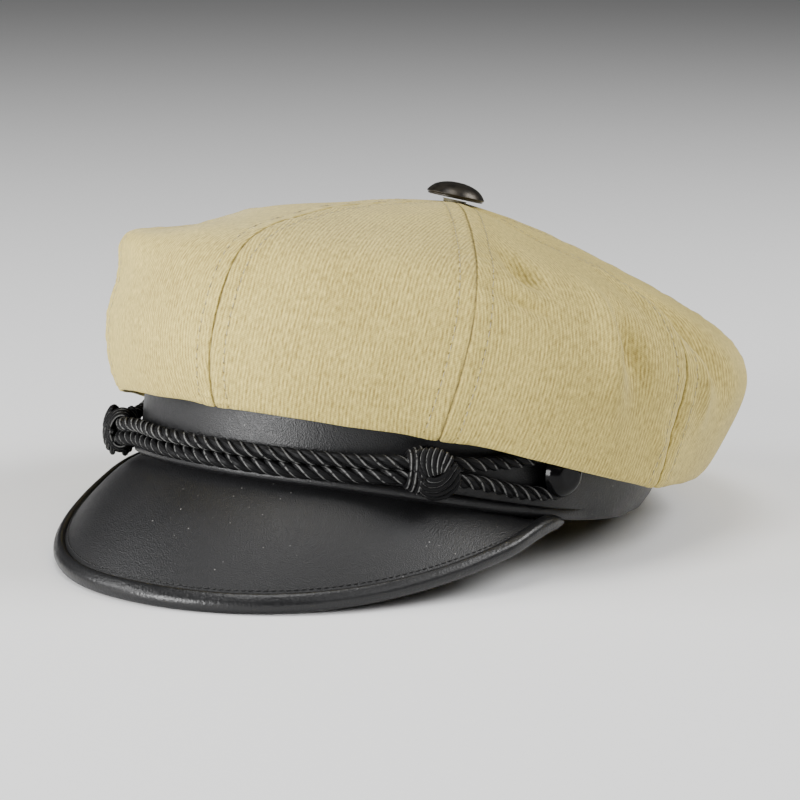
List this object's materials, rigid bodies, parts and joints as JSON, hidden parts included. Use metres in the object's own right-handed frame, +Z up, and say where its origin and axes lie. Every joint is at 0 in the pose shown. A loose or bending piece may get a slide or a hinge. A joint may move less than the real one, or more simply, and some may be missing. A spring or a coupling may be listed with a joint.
{
  "type": "breton fisherman cap",
  "caption": "Mariner's cap with a full panelled twill crown, leather head band and peak, and a twisted cord held by knots and side buttons.",
  "frame": {"origin": "middle of the cap's footprint, on the surface that it rests on", "axes": "+Z up from the surface, -Y towards the peak, +X towards the wearer's left"},
  "size_m": [0.2232, 0.2858, 0.1197],
  "materials": {
    "twill": "matte khaki cotton twill",
    "leather": "satin black, fine grain",
    "cord": "twisted black cord with a soft sheen",
    "gloss": "glossy black",
    "bronze": "dark bronze",
    "olive": "olive khaki"
  },
  "bodies": {
    "root": {"crown_panel_1": "twill", "crown_panel_2": "twill", "crown_panel_3": "twill", "crown_panel_4": "twill", "crown_panel_5": "twill", "crown_panel_6": "twill", "crown_panel_7": "twill", "crown_panel_8": "twill", "head_band": "leather", "peak": "leather", "peak_binding": "leather", "cord": "cord", "cord_knot_left": "cord", "cord_knot_right": "cord", "side_button_left": "gloss", "side_button_right": "gloss", "top_button": "bronze", "top_button_shank": "olive"}
  },
  "joints": []
}
